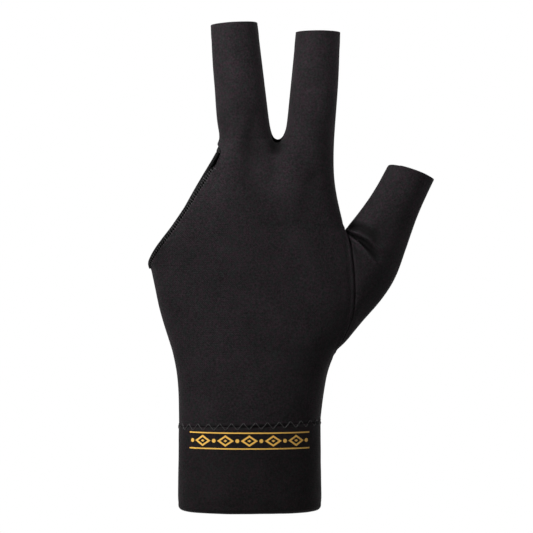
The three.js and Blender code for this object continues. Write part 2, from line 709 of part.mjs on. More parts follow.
const glove = new THREE.Group();
glove.add(back.mesh);
glove.add(palm.mesh);
glove.add(makeThumb(thumbLoop));
glove.add(makeHem(openingLoop));
glove.add(makeCuff());

export default glove;
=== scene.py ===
import math

import bmesh
import bpy
import numpy as np
from mathutils import Matrix, Vector, noise
from mathutils.bvhtree import BVHTree
from mathutils.kdtree import KDTree


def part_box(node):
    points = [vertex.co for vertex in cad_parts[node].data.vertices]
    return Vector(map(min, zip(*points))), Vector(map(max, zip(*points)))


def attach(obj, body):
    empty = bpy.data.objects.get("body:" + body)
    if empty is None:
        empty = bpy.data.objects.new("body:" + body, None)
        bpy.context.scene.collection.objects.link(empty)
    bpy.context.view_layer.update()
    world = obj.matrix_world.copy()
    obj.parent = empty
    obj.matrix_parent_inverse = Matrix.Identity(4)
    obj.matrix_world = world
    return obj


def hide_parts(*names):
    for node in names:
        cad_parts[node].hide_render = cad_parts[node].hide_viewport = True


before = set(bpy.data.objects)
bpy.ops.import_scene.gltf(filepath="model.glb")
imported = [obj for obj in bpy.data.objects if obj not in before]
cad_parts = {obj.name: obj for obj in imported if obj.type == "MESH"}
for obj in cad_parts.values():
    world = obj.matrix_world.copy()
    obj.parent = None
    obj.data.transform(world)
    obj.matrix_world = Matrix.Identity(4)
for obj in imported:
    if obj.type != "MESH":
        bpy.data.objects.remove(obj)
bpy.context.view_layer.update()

MM = 0.001

# Back panel: one flat-cut piece of fine jersey, stretched over the back of the hand and over the back
# halves of the middle and index fingers. Its side edges are overlocked to the palm panel, and the ends
# of the two sleeves are cut raw, because this knit doesn't fray.
SEAM_GAP = 0.3 * MM
SEAM_REACH = 1.5 * SEAM_GAP
CUFF_SEAM_REACH = 1.2 * SEAM_GAP
SEAM_PULL = 0.48
SEAM_CREASE = 0.35
SAME_PLACE = 0.01 * MM
SHEET_EDGE = math.radians(52)
CRISP_EDGE = math.radians(48)
KNIT_LEVELS = 3
RIM_BAND = 3 * MM
FINGER_END_BAND = 10 * MM

back_low, back_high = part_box("back_panel")
cuff_low, cuff_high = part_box("wrist_cuff")
cuff_middle = (cuff_low + cuff_high) / 2
finger_ends = back_high.z - FINGER_END_BAND


def cuff_seam(x):
    """Height of the seam between the panels and the cuff, which rises towards the thumb's side."""
    rise = (cuff_high.z - back_low.z + SEAM_GAP) / (cuff_high.x - cuff_low.x)
    return (cuff_high.z + back_low.z) / 2 + rise * (x - cuff_middle.x)


def copy_node(node, name):
    """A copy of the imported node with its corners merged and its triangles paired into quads."""
    bpy.ops.object.select_all(action="DESELECT")
    piece = bpy.data.objects.new(name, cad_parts[node].data.copy())
    piece.data.materials.clear()
    bpy.context.scene.collection.objects.link(piece)
    piece.select_set(True)
    bpy.context.view_layer.objects.active = piece
    bpy.ops.object.mode_set(mode="EDIT")
    bpy.ops.mesh.select_all(action="SELECT")
    bpy.ops.mesh.remove_doubles(threshold=SAME_PLACE)
    bpy.ops.mesh.tris_convert_to_quads(face_threshold=math.pi, shape_threshold=math.pi)
    bpy.ops.object.mode_set(mode="OBJECT")
    return piece


def search_tree(points):
    """A tree that finds the nearest of these points."""
    tree = KDTree(len(points))
    for i, point in enumerate(points):
        tree.insert(point, i)
    tree.balance()
    return tree


def corner_tree(node):
    """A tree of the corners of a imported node."""
    return search_tree(sorted({vertex.co.to_tuple(6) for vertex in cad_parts[node].data.vertices}))


def close_seams(piece, neighbours):
    """Draws each vertex of a sewn edge almost halfway to its partner on the neighbouring piece."""
    trees = [corner_tree(node) for node in neighbours]
    for vertex in piece.data.vertices:
        near, _, distance = min((tree.find(vertex.co) for tree in trees), key=lambda found: found[2])
        if abs(vertex.co.z - cuff_seam(vertex.co.x)) < CUFF_SEAM_REACH:
            vertex.co.z = cuff_seam(vertex.co.x)
        elif distance < SEAM_REACH:
            vertex.co = vertex.co.lerp(near, SEAM_PULL)


def seam_points(piece, neighbours, step=0.3 * MM):
    """Points every step along the outer edges by which a piece is sewn to its neighbours."""
    trees = [corner_tree(node) for node in neighbours]
    side = piece.data.attributes["wall_side"].data
    sewn = [
        side[i].value > 0 and min(tree.find(vertex.co)[2] for tree in trees) < SEAM_REACH
        for i, vertex in enumerate(piece.data.vertices)
    ]
    points = []
    for edge in piece.data.edges:
        a, b = edge.vertices
        if sewn[a] and sewn[b]:
            start, end = piece.data.vertices[a].co, piece.data.vertices[b].co
            count = max(1, round((end - start).length / step))
            points += [start.lerp(end, i / count) for i in range(count + 1)]
    return points


def sheets_of(mesh):
    """Faces in groups bounded by the sharp edges of the wall: outer sheet, inner sheet, then the rims."""
    groups = []
    left = set(mesh.faces)
    for start in mesh.faces:
        if start not in left:
            continue
        left.remove(start)
        group = [start]
        for face in group:
            for edge in face.edges:
                if edge.calc_face_angle(math.pi) < SHEET_EDGE:
                    beside = [other for other in edge.link_faces if other in left]
                    left.difference_update(beside)
                    group.extend(beside)
        groups.append(group)
    return sorted(groups, key=lambda group: -sum(face.calc_area() for face in group))


def mark_sheets(piece, crease_at):
    """Marks the wall's edges as seams, creases those that crease_at names and tells outer from inner."""
    mesh = bmesh.new()
    mesh.from_mesh(piece.data)
    groups = sheets_of(mesh)
    side = mesh.verts.layers.float.new("wall_side")
    crease = mesh.edges.layers.float.new("crease_edge")
    for group, value in zip(groups[:2], (1, -1)):
        for face in group:
            for vertex in face.verts:
                vertex[side] = value
    group_of = {face: number for number, group in enumerate(groups) for face in group}
    for edge in mesh.edges:
        if len({group_of[face] for face in edge.link_faces}) > 1:
            edge.seam = True
            edge[crease] = crease_at((edge.verts[0].co + edge.verts[1].co) / 2)
    mesh.to_mesh(piece.data)
    mesh.free()


def unroll(piece):
    """Lays each sheet flat and scales it to millimetres, with the wales along the glove's length."""
    bpy.ops.object.mode_set(mode="EDIT")
    bpy.ops.mesh.select_all(action="SELECT")
    bpy.ops.uv.unwrap(method="ANGLE_BASED", margin=0.001)
    bpy.ops.object.mode_set(mode="OBJECT")
    mesh = bmesh.new()
    mesh.from_mesh(piece.data)
    flat = mesh.loops.layers.uv.active
    for group in sheets_of(mesh):
        loops = [loop for face in group for loop in face.loops]
        spots = np.array([loop[flat].uv for loop in loops])
        heights = np.array([loop.vert.co.z for loop in loops])
        slope, *_ = np.linalg.lstsq(np.column_stack([spots, np.ones(len(spots))]), heights, rcond=None)
        turn = Matrix.Rotation(math.pi / 2 - math.atan2(slope[1], slope[0]), 2)
        flat_area = 0
        for face in group:
            corners = [loop[flat].uv.copy() for loop in face.loops]
            flat_area += abs(sum(a.cross(b) for a, b in zip(corners, corners[1:] + corners[:1]))) / 2
        scale = math.sqrt(sum(face.calc_area() for face in group) / max(flat_area, 1e-12)) / MM
        for loop in loops:
            loop[flat].uv = turn @ (loop[flat].uv * scale)
    mesh.to_mesh(piece.data)
    mesh.free()


def subdivide(piece, levels):
    """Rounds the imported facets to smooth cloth, and keeps the cut edges crisp."""
    smooth = piece.modifiers.new("subdivision", "SUBSURF")
    smooth.levels = levels
    smooth.render_levels = levels
    bpy.context.view_layer.objects.active = piece
    bpy.ops.object.modifier_apply(modifier=smooth.name)
    bpy.ops.object.shade_smooth_by_angle(angle=CRISP_EDGE)


def distances(tree, places):
    """How far each place is from the nearest point of a seam, in millimetres."""
    return np.array([tree.find(place)[2] for place in places]) / MM


def bell(distance, width):
    """1 at no distance, falling off smoothly to either side over about this width."""
    return np.exp(-((distance / width) ** 2))


def across_seam(distance, profile):
    """Ditches and ridges beside a seam, from rows of (rise, distance from the seam, width)."""
    return sum(rise * bell(distance - middle, width) for rise, middle, width in profile)


def along_line(places, line, width_start, width_end):
    """How near each place is to a line drawn on the glove's face: 1 on it, fading at its sides and end."""
    x, z = places[:, 0] / MM, places[:, 2] / MM
    line = np.array(line, dtype=float)
    steps = np.linalg.norm(np.diff(line, axis=0), axis=1)
    reached = np.concatenate([[0], np.cumsum(steps)]) / steps.sum()
    nearest = np.full(len(x), np.inf)
    share = np.zeros(len(x))
    for i, (start, end) in enumerate(zip(line, line[1:])):
        way = end - start
        along = np.clip(((x - start[0]) * way[0] + (z - start[1]) * way[1]) / way.dot(way), 0, 1)
        gap = np.hypot(x - start[0] - along * way[0], z - start[1] - along * way[1])
        closer = gap < nearest
        nearest = np.where(closer, gap, nearest)
        share = np.where(closer, reached[i] + along * (reached[i + 1] - reached[i]), share)
    width = width_start + (width_end - width_start) * share
    return bell(nearest, width) * (1 - share**3)


def forms(places, rows):
    """Hollows and rises, from rows of (rise, line, width at its start, width at its end)."""
    return sum(rise * along_line(places, line, *widths) for rise, line, *widths in rows)


def uneven_lie(places, rows):
    """Uneven lie of a thin cloth: smooth noise, from rows of (height, length of its waves, seed)."""
    total = np.zeros(len(places))
    for height, length, seed in rows:
        shift = Vector((seed, 2 * seed, 3 * seed))
        total += [height * noise.noise(Vector(place) / (length * MM) + shift) for place in places]
    return total


def lift(piece, height_at):
    """Raises the outer sheet by height_at, in millimetres, and moves the inner sheet with it.

    The height is kept as an attribute, from which the jersey paints shade into the hollows and light onto
    the rises.
    """
    count = len(piece.data.vertices)
    places = np.zeros(count * 3)
    piece.data.vertices.foreach_get("co", places)
    places = places.reshape(-1, 3)
    normals = np.zeros(count * 3)
    piece.data.vertex_normals.foreach_get("vector", normals)
    side = np.zeros(count)
    piece.data.attributes["wall_side"].data.foreach_get("value", side)
    outward = normals.reshape(-1, 3) * side[:, None]
    height = height_at(places, outward)
    raised = places + outward * (height * MM)[:, None]
    piece.data.vertices.foreach_set("co", raised.ravel())
    piece.data.attributes.new("height_for_painted_shade_and_light", "FLOAT", "POINT").data.foreach_set("value", height)
    piece.data.update()


def panel_crease(place):
    """The sleeves' cut ends and the edge at the cuff stay crisp, and the sewn edges turn softer."""
    return 1.0 if place.z > finger_ends or place.z < cuff_seam(place.x) + RIM_BAND else SEAM_CREASE


back_panel = copy_node("back_panel", "back_of_hand")
close_seams(back_panel, ["palm_panel", "thumb_sleeve", "finger_opening_hem"])
mark_sheets(back_panel, panel_crease)
unroll(back_panel)
back_thumb_seam = search_tree(seam_points(back_panel, ["thumb_sleeve"]))
back_side_seams = search_tree(seam_points(back_panel, ["palm_panel"]))
back_hem_points = seam_points(back_panel, ["finger_opening_hem"])
back_hem_seam = search_tree(back_hem_points)
subdivide(back_panel, KNIT_LEVELS)

# The fold along the thumb's seam, the ditch of the side seams, near which the cloth lies flat, and the
# ripple that the hem's stitches draw into the panel, all in millimetres.
THUMB_SEAM_FOLD = ((0.2, 1.0, 0.55), (-0.3, 0, 0.4), (-0.14, 2.4, 0.8))
SIDE_SEAM_DITCH = ((-0.12, 0, 0.7),)
SIDE_SEAM_FLAT = 3.0
HEM_RIPPLE = 0.05
HEM_RIPPLE_STEP = 3.1
HEM_RIPPLE_PLACE = 1.2
HEM_RIPPLE_WIDTH = 1.3

# The tendon's hollow, which fades out up the middle finger, the dimple under the web between the two
# sleeves, the hollow beside the index finger's knuckle, and the two knuckles. Each is a line of places
# (x, z) in millimetres.
TENDON_HOLLOW = ((2.4, 176), (-0.3, 161), (-0.6, 148), (2.2, 132))
TENDON_TOP = 180
TENDON_FADE = 14
WEB_DIMPLE = ((11.9, 163.5), (11.6, 155))
INDEX_HOLLOW = ((27.0, 146), (24.6, 135), (21.5, 122))
MIDDLE_KNUCKLE = ((-11, 153), (-12, 138))
INDEX_KNUCKLE = ((17.5, 151), (13.0, 136))
TENDON_FORM = ((-0.75, TENDON_HOLLOW, 3.0, 3.6),)
BACK_FORMS = (
    (-1.6, WEB_DIMPLE, 2.2, 3.0),
    (-0.55, INDEX_HOLLOW, 3.0, 4.0),
    (0.45, MIDDLE_KNUCKLE, 6.0, 7.0),
    (0.5, INDEX_KNUCKLE, 4.0, 6.0),
)
BACK_WAVES = ((0.16, 17, 3), (0.07, 7, 5))


def back_relief(places, outward):
    """The seams' folds, the ripple of the hem's pull, the hand's forms and the cloth's uneven lie."""
    z = places[:, 2] / MM
    side_seams = distances(back_side_seams, places)
    hem = distances(back_hem_seam, places)
    height = across_seam(distances(back_thumb_seam, places), THUMB_SEAM_FOLD)
    height += across_seam(side_seams, SIDE_SEAM_DITCH)
    ripple = HEM_RIPPLE * np.sin(z * 2 * math.pi / HEM_RIPPLE_STEP)
    height += ripple * bell(hem - HEM_RIPPLE_PLACE, HEM_RIPPLE_WIDTH)
    height += forms(places, TENDON_FORM) * np.clip((TENDON_TOP - z) / TENDON_FADE, 0, 1)
    height += forms(places, BACK_FORMS)
    return height + uneven_lie(places, BACK_WAVES) * (1 - bell(side_seams, SIDE_SEAM_FLAT))


lift(back_panel, back_relief)


def linear(shade):
    """An sRGB hex colour as the linear colour that Blender works in."""
    parts = [((shade >> shift) & 255) / 255 for shift in (16, 8, 0)]
    return [*(((part + 0.055) / 1.055) ** 2.4 if part > 0.04045 else part / 12.92 for part in parts), 1.0]


def add_node(tree, kind, values=(), links=(), **settings):
    """Adds a node, sets its sockets by name or number, and links sockets to its inputs."""
    node = tree.nodes.new(kind)
    for key, value in settings.items():
        setattr(node, key, value)
    for socket, value in dict(values).items():
        node.inputs[socket].default_value = value
    for socket, source in dict(links).items():
        tree.links.new(source, node.inputs[socket])
    return node


def new_material(name):
    """A node material without nodes, and its tree."""
    material = bpy.data.materials.new(name)
    material.use_nodes = True
    tree = material.node_tree
    tree.nodes.clear()
    return material, tree


# Polyamide-elastane jersey: matt black filament yarn with a slight bloom where it turns away from the
# eye. The two yarns take the dye unevenly, so it is speckled cooler and warmer. Its real wales are
# about 0.45 mm apart, too fine to show, so they are drawn at twice that.
WALE = 0.9
COURSE = 0.75
LEG_SLANT = 1.4
RIB_SHARE = -0.6
CLOUD_SHARE = 0.3
FUZZ_SHARE = 1.6
YARN_FUZZ = 0.8 * MM
DYE_SPOT = 1.3 * MM
DYE_CLOUD = 12 * MM
LOOP_HEIGHT = 0.06 * MM


def jersey(name, warm_shade, cool_shade, roughness, sheen):
    """Plain knit: V loops in wales and courses, dyed unevenly, painted shade in hollows, painted light on
    rises.
    """
    material, tree = new_material(name)
    uv = add_node(tree, "ShaderNodeUVMap")
    place = add_node(tree, "ShaderNodeSeparateXYZ", links={0: uv.outputs[0]})
    across = add_node(tree, "ShaderNodeMath", {1: WALE}, {0: place.outputs[0]}, operation="DIVIDE")
    leg = add_node(tree, "ShaderNodeMath", {1: 0.5}, {0: across.outputs[0]}, operation="PINGPONG")
    up = add_node(tree, "ShaderNodeMath", {1: COURSE}, {0: place.outputs[1]}, operation="DIVIDE")
    slant = add_node(
        tree, "ShaderNodeMath", {1: LEG_SLANT}, {0: leg.outputs[0], 2: up.outputs[0]},
        operation="MULTIPLY_ADD",
    )
    wave = add_node(tree, "ShaderNodeMath", {1: 2 * math.pi}, {0: slant.outputs[0]}, operation="MULTIPLY")
    loop = add_node(tree, "ShaderNodeMath", links={0: wave.outputs[0]}, operation="SINE")
    rib_turn = add_node(tree, "ShaderNodeMath", {1: 4 * math.pi}, {0: leg.outputs[0]}, operation="MULTIPLY")
    rib = add_node(tree, "ShaderNodeMath", links={0: rib_turn.outputs[0]}, operation="COSINE")
    stitch = add_node(
        tree, "ShaderNodeMath", {1: RIB_SHARE}, {0: rib.outputs[0], 2: loop.outputs[0]},
        operation="MULTIPLY_ADD",
    )
    spot = add_node(tree, "ShaderNodeTexCoord")
    fuzz = add_node(
        tree, "ShaderNodeTexNoise", {"Scale": 1 / YARN_FUZZ, "Detail": 3.0, "Roughness": 0.7},
        {"Vector": spot.outputs["Object"]},
    )
    cloud = add_node(
        tree, "ShaderNodeTexNoise", {"Scale": 1 / DYE_CLOUD, "Detail": 2.0},
        {"Vector": spot.outputs["Object"]},
    )
    dye = add_node(
        tree, "ShaderNodeTexNoise", {"Scale": 1 / DYE_SPOT, "Detail": 2.0, "Roughness": 0.6},
        {"Vector": spot.outputs["Object"]},
    )
    dye_share = add_node(
        tree, "ShaderNodeMapRange", {"From Min": 0.38, "From Max": 0.62}, {"Value": dye.outputs["Fac"]}
    )
    yarn = add_node(
        tree, "ShaderNodeMix", {"A": linear(warm_shade), "B": linear(cool_shade)},
        {"Factor": dye_share.outputs[0]}, data_type="RGBA",
    )
    speckle = add_node(
        tree, "ShaderNodeMath", {1: CLOUD_SHARE}, {0: cloud.outputs["Fac"], 2: fuzz.outputs["Fac"]},
        operation="MULTIPLY_ADD",
    )
    tone = add_node(
        tree, "ShaderNodeMapRange", {"From Min": 0.45, "From Max": 0.85, "To Min": 0.35, "To Max": 1.85},
        {"Value": speckle.outputs[0]},
    )
    # Painted shade and light: the relief's height darkens the cloth in hollows and lightens it on rises.
    height_for_painted_shade_and_light = add_node(tree, "ShaderNodeAttribute", attribute_name="height_for_painted_shade_and_light")
    painted_shade_and_light = add_node(
        tree, "ShaderNodeMapRange", {"From Min": -1.2, "From Max": 1.2, "To Min": 0.2, "To Max": 1.8},
        {"Value": height_for_painted_shade_and_light.outputs["Fac"]},
    )
    shade = add_node(
        tree, "ShaderNodeMath", links={0: tone.outputs[0], 1: painted_shade_and_light.outputs[0]}, operation="MULTIPLY"
    )
    colour = add_node(
        tree, "ShaderNodeVectorMath", links={0: yarn.outputs["Result"], 1: shade.outputs[0]},
        operation="MULTIPLY",
    )
    height = add_node(
        tree, "ShaderNodeMath", {1: FUZZ_SHARE}, {0: fuzz.outputs["Fac"], 2: stitch.outputs[0]},
        operation="MULTIPLY_ADD",
    )
    bump = add_node(
        tree, "ShaderNodeBump", {"Strength": 0.5, "Distance": LOOP_HEIGHT}, {"Height": height.outputs[0]}
    )
    cloth = add_node(
        tree, "ShaderNodeBsdfPrincipled",
        {"Roughness": roughness, "Specular IOR Level": 0.1, "Sheen Weight": sheen, "Sheen Roughness": 0.3},
        {"Base Color": colour.outputs["Vector"], "Normal": bump.outputs[0]},
    )
    add_node(tree, "ShaderNodeOutputMaterial", links={"Surface": cloth.outputs[0]})
    return material


hand_jersey = jersey("polyamide_elastane_jersey", 0x1D1419, 0x141616, roughness=0.8, sheen=0.02)
back_panel.data.materials.append(hand_jersey)
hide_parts("back_panel")
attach(back_panel, "root")

# Palm panel: the same jersey and the mirror-like cut of the back panel, fuller over the ball of the
# thumb. It is overlocked to the back panel at the sides and between the fingers, right sides out.
palm_panel = copy_node("palm_panel", "palm_of_hand")
close_seams(palm_panel, ["back_panel", "thumb_sleeve", "finger_opening_hem"])
mark_sheets(palm_panel, panel_crease)
unroll(palm_panel)
palm_thumb_seam = search_tree(seam_points(palm_panel, ["thumb_sleeve"]))
palm_side_seams = search_tree(seam_points(palm_panel, ["back_panel"]))
palm_hem_points = seam_points(palm_panel, ["finger_opening_hem"])
subdivide(palm_panel, KNIT_LEVELS)

# Creases of the palm, as places (x, z) in millimetres: the one round the ball of the thumb and the two
# across the palm.
THUMB_CREASE = ((33, 112), (18, 104), (8, 88), (6, 62))
UPPER_CREASE = ((-36, 118), (-18, 126), (4, 138))
LOWER_CREASE = ((34, 116), (14, 114), (-8, 102), (-26, 96))
PALM_FORMS = (
    (-0.5, THUMB_CREASE, 1.8, 3.0),
    (-0.35, UPPER_CREASE, 1.6, 2.2),
    (-0.35, LOWER_CREASE, 1.6, 2.4),
    (-0.8, WEB_DIMPLE, 2.2, 3.0),
)
PALM_WAVES = ((0.16, 15, 11), (0.07, 7, 13))


def palm_relief(places, outward):
    """The seams' folds, the creases of the palm and the cloth's uneven lie."""
    side_seams = distances(palm_side_seams, places)
    height = across_seam(distances(palm_thumb_seam, places), THUMB_SEAM_FOLD)
    height += across_seam(side_seams, SIDE_SEAM_DITCH)
    height += forms(places, PALM_FORMS)
    return height + uneven_lie(places, PALM_WAVES) * (1 - bell(side_seams, SIDE_SEAM_FLAT))


lift(palm_panel, palm_relief)
palm_panel.data.materials.append(hand_jersey)
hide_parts("palm_panel")
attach(palm_panel, "root")

# Thumb sleeve: a tube of the same jersey, set into the oval hole between the two panels and pulled
# tight at the crotch, where the cloth gathers into a fan of folds. Its end is cut raw.
THUMB_TURN = math.radians(32)
THUMB_RADIUS = 10 * MM
THUMB_FOOT = Vector((0.040, 0.002, 0.100))
THUMB_END_BAND = 9 * MM

thumb_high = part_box("thumb_sleeve")[1]
thumb_axis = Vector((math.sin(THUMB_TURN), 0, math.cos(THUMB_TURN)))
thumb_across = Vector((math.cos(THUMB_TURN), 0, -math.sin(THUMB_TURN)))
thumb_end = Vector((thumb_high.x, 0, thumb_high.z)).dot(thumb_axis) - THUMB_END_BAND


def wrap_round(piece, foot, axis, across, radius):
    """Unrolls a tube about its axis, in millimetres: the way round it, and the way along it."""
    mesh = bmesh.new()
    mesh.from_mesh(piece.data)
    flat = mesh.loops.layers.uv.verify()
    for face in mesh.faces:
        first = None
        for loop in face.loops:
            from_foot = loop.vert.co - foot
            angle = math.atan2(from_foot.dot(across), -from_foot.y)
            first = angle if first is None else first
            angle += 2 * math.pi * round((first - angle) / (2 * math.pi))
            loop[flat].uv = (angle * radius / MM, from_foot.dot(axis) / MM)
    mesh.to_mesh(piece.data)
    mesh.free()


thumb_sleeve = copy_node("thumb_sleeve", "thumb_tube")
close_seams(thumb_sleeve, ["back_panel", "palm_panel"])
mark_sheets(thumb_sleeve, lambda place: 1.0 if place.dot(thumb_axis) > thumb_end else SEAM_CREASE)
wrap_round(thumb_sleeve, THUMB_FOOT, thumb_axis, thumb_across, THUMB_RADIUS)
thumb_seam = search_tree(seam_points(thumb_sleeve, ["back_panel", "palm_panel"]))
subdivide(thumb_sleeve, KNIT_LEVELS)

# The fan of folds that runs down and out from the crotch, as places (x, z) in millimetres. Near the
# seam the folds are held flatter, and those of the back fade where the tube turns to the palm.
# The depth of each hollow also paints shade into the cloth's colour, and each ridge paints light.
CROTCH_SHADE = ((43.4, 125.2), (48.8, 124.4), (54.5, 120.6), (58.5, 115.5))
UPPER_FOLD = ((42.6, 123.0), (47.5, 121.3), (52.4, 118.8), (57.6, 113.4))
DEEP_FOLD = ((43.0, 122.0), (48.6, 118.7), (52.8, 114.8), (57.2, 109.0))
LOWER_FOLD = ((43.2, 120.6), (48.8, 116.2), (53.2, 110.7), (57.4, 105.2))
LOW_HOLLOW = ((43.0, 118.5), (46.5, 112.5), (51.0, 103.0))
BACK_FAN = (
    (-1.5, CROTCH_SHADE, 1.6, 2.4),
    (1.5, UPPER_FOLD, 0.6, 0.9),
    (-2.4, DEEP_FOLD, 1.3, 1.8),
    (1.4, LOWER_FOLD, 0.6, 0.9),
    (-0.8, LOW_HOLLOW, 1.0, 2.4),
)
PALM_FAN = (
    (0.5, UPPER_FOLD, 0.9, 1.4),
    (-0.8, DEEP_FOLD, 1.2, 2.4),
    (0.4, LOWER_FOLD, 0.9, 1.6),
)
FAN_HELD = ((0.7, 0, 1.0),)
FAN_TURN = 2.5
THUMB_SIDE_FOLD = ((-0.3, 0, 0.4), (-0.1, 1.6, 0.8))
THUMB_WAVES = ((0.12, 14, 17), (0.06, 6, 19))


def thumb_relief(places, outward):
    """The fan of folds on the back, held flat at the seam, a weaker one on the palm, and the waves."""
    seam = distances(thumb_seam, places)
    on_back = np.clip(-outward[:, 1] * FAN_TURN, 0, 1)
    on_palm = np.clip(outward[:, 1] * FAN_TURN, 0, 1)
    height = across_seam(seam, THUMB_SIDE_FOLD)
    height += forms(places, BACK_FAN) * (1 - across_seam(seam, FAN_HELD)) * on_back
    height += forms(places, PALM_FAN) * on_palm
    return height + uneven_lie(places, THUMB_WAVES)


lift(thumb_sleeve, thumb_relief)
thumb_sleeve.data.materials.append(hand_jersey)
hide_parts("thumb_sleeve")
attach(thumb_sleeve, "root")

# Wrist cuff: a band of the jersey folded double at its lower edge. The fold lies soft and full, and the
# two raw upper edges are caught by the zigzag seam.
CUFF_RADIUS = 26 * MM
CUFF_WAVES = ((0.14, 16, 23), (0.07, 6, 29))
FOLD_DITCH = ((-0.1, 3.4, 1.0),)
SEAM_CALM = 2.0
CALM_FADE = 5.0

wrist_cuff = copy_node("wrist_cuff", "cuff_band")
close_seams(wrist_cuff, ["back_panel", "palm_panel"])
mark_sheets(wrist_cuff, lambda place: 1.0)
cuff_foot = Vector((cuff_middle.x, cuff_middle.y, 0))
wrap_round(wrist_cuff, cuff_foot, Vector((0, 0, 1)), Vector((1, 0, 0)), CUFF_RADIUS)
subdivide(wrist_cuff, KNIT_LEVELS)


def cuff_relief(places, outward):
    """The band lies a little uneven, and its fold is drawn in above the round of the edge."""
    up = (places[:, 2] - cuff_low.z) / MM
    below_seam = (cuff_seam(cuff_middle.x) - places[:, 2]) / MM
    height = uneven_lie(places, CUFF_WAVES) + across_seam(up, FOLD_DITCH)
    return height * np.clip((below_seam - SEAM_CALM) / CALM_FADE, 0, 1)


lift(wrist_cuff, cuff_relief)

# The same jersey in two layers: less stretched than over the hand, so its black is a little deeper.
cuff_jersey = jersey("doubled_polyamide_elastane_jersey", 0x1A1115, 0x111313, roughness=0.8, sheen=0.02)
wrist_cuff.data.materials.append(cuff_jersey)
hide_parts("wrist_cuff")
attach(wrist_cuff, "root")

# Zigzag seam: textured polyester thread in even stitches that catch the panels' lower edges and the
# cuff's upper edges together. Each leg lies on the cloth and dives into it at the needle's holes.
ZIGZAG_PITCH = 5.2 * MM
ZIGZAG_HEIGHT = 3.0 * MM
THREAD = 0.15 * MM
LEG_POINTS = 8
LEG_LIFT = 0.75 * THREAD
LEG_DIVE = 2.2 * THREAD
OUT_OF_CUFF = 60 * MM


def outer_shape(pieces):
    """The surfaces of several pieces in one tree, for laying threads and film on them."""
    mesh = bmesh.new()
    for piece in pieces:
        mesh.from_mesh(piece.data)
    tree = BVHTree.FromBMesh(mesh)
    mesh.free()
    return tree


def around_wrist(tree, angle, z):
    """The place and the normal on the outside of the wrist, seen from its middle at this angle."""
    way = Vector((math.sin(angle), -math.cos(angle), 0))
    start = Vector((cuff_middle.x, cuff_middle.y, z)) + way * OUT_OF_CUFF
    place, normal, _, _ = tree.ray_cast(start, -way)
    return place, normal


def way_round(tree, z, count=720):
    """Angles round the wrist at one height and the way walked to each, starting at the middle front."""
    angles = [2 * math.pi * i / count for i in range(count + 1)]
    places = [around_wrist(tree, angle, z)[0] for angle in angles]
    steps = [(b - a).length for a, b in zip(places, places[1:])]
    return np.array(angles), np.concatenate([[0], np.cumsum(steps)])


def thread_object(name, paths, radius):
    """Round threads along paths of points, as one mesh."""
    curve = bpy.data.curves.new(name, "CURVE")
    curve.dimensions = "3D"
    curve.bevel_depth = radius
    curve.bevel_resolution = 1
    curve.use_fill_caps = True
    for path in paths:
        spline = curve.splines.new("POLY")
        spline.points.add(len(path) - 1)
        for point, place in zip(spline.points, path):
            point.co = (*place, 1)
    thread = bpy.data.objects.new(name, curve)
    bpy.context.scene.collection.objects.link(thread)
    bpy.ops.object.select_all(action="DESELECT")
    thread.select_set(True)
    bpy.context.view_layer.objects.active = thread
    bpy.ops.object.convert(target="MESH")
    thread = bpy.context.view_layer.objects.active
    thread.data.shade_smooth()
    return thread


wrist_shape = outer_shape([back_panel, palm_panel, wrist_cuff])
measured_at = cuff_seam(cuff_middle.x) - 2 * MM
seam_angles, seam_way = way_round(wrist_shape, measured_at)
leg_count = 2 * round(seam_way[-1] / ZIGZAG_PITCH)
zigzag_paths = []
for leg in range(leg_count):
    path = []
    for i in range(LEG_POINTS + 1):
        along_leg = i / LEG_POINTS
        angle = np.interp((leg + along_leg) / leg_count * seam_way[-1], seam_way, seam_angles)
        middle, _ = around_wrist(wrist_shape, angle, measured_at)
        swing = along_leg if leg % 2 == 0 else 1 - along_leg
        z = cuff_seam(middle.x) + ZIGZAG_HEIGHT * (swing - 0.5)
        place, normal = around_wrist(wrist_shape, angle, z)
        path.append(place + normal * (LEG_LIFT - LEG_DIVE * (2 * along_leg - 1) ** 8))
    zigzag_paths.append(path)
zigzag = thread_object("zigzag_seam", zigzag_paths, THREAD)

# Polyester sewing thread: plied filament, a little smoother than the cloth, so it catches more light.
# Its plies are about 0.1 mm wide, too fine to show, so they are drawn five times as coarse.
PLY = 0.5 * MM


def yarn_material(name, shade, roughness):
    """Thread of one dye, mottled by its plies."""
    material, tree = new_material(name)
    spot = add_node(tree, "ShaderNodeTexCoord")
    ply = add_node(
        tree, "ShaderNodeTexNoise", {"Scale": 1 / PLY, "Detail": 1.0}, {"Vector": spot.outputs["Object"]}
    )
    tone = add_node(
        tree, "ShaderNodeMapRange", {"To Min": 0.7, "To Max": 1.3}, {"Value": ply.outputs["Fac"]}
    )
    colour = add_node(
        tree, "ShaderNodeVectorMath", {0: linear(shade)[:3]}, {1: tone.outputs[0]}, operation="MULTIPLY"
    )
    thread = add_node(
        tree, "ShaderNodeBsdfPrincipled", {"Roughness": roughness, "Specular IOR Level": 0.4},
        {"Base Color": colour.outputs["Vector"]},
    )
    add_node(tree, "ShaderNodeOutputMaterial", links={"Surface": thread.outputs[0]})
    return material


seam_thread = yarn_material("textured_polyester_thread", 0x2A2829, roughness=0.6)
zigzag.data.materials.append(seam_thread)
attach(zigzag, "root")

# Cuff ornament: a row of open lozenges and beads between two fine lines, in a gold foil film that is
# pressed on hot. The film follows the cloth, has a satin shine and stands a hair above the knit.
ORNAMENT_LOW = 28.4 * MM
ORNAMENT_HIGH = 35.2 * MM
ORNAMENT_PITCH = 10.4 * MM
LOZENGES = 5
LOZENGE_WIDTH = 7.4 * MM
LOZENGE_RIM = 0.75 * MM
CORE_SHARE = 0.22
BEAD = 0.85 * MM
FILM = 0.09 * MM
FILM_SUNK = 0.03 * MM
LINE_WIDTH = 0.55 * MM
LINE_GAP = 0.95 * MM
LINE_OVERHANG = 1.7 * MM
LINE_STEPS = 90

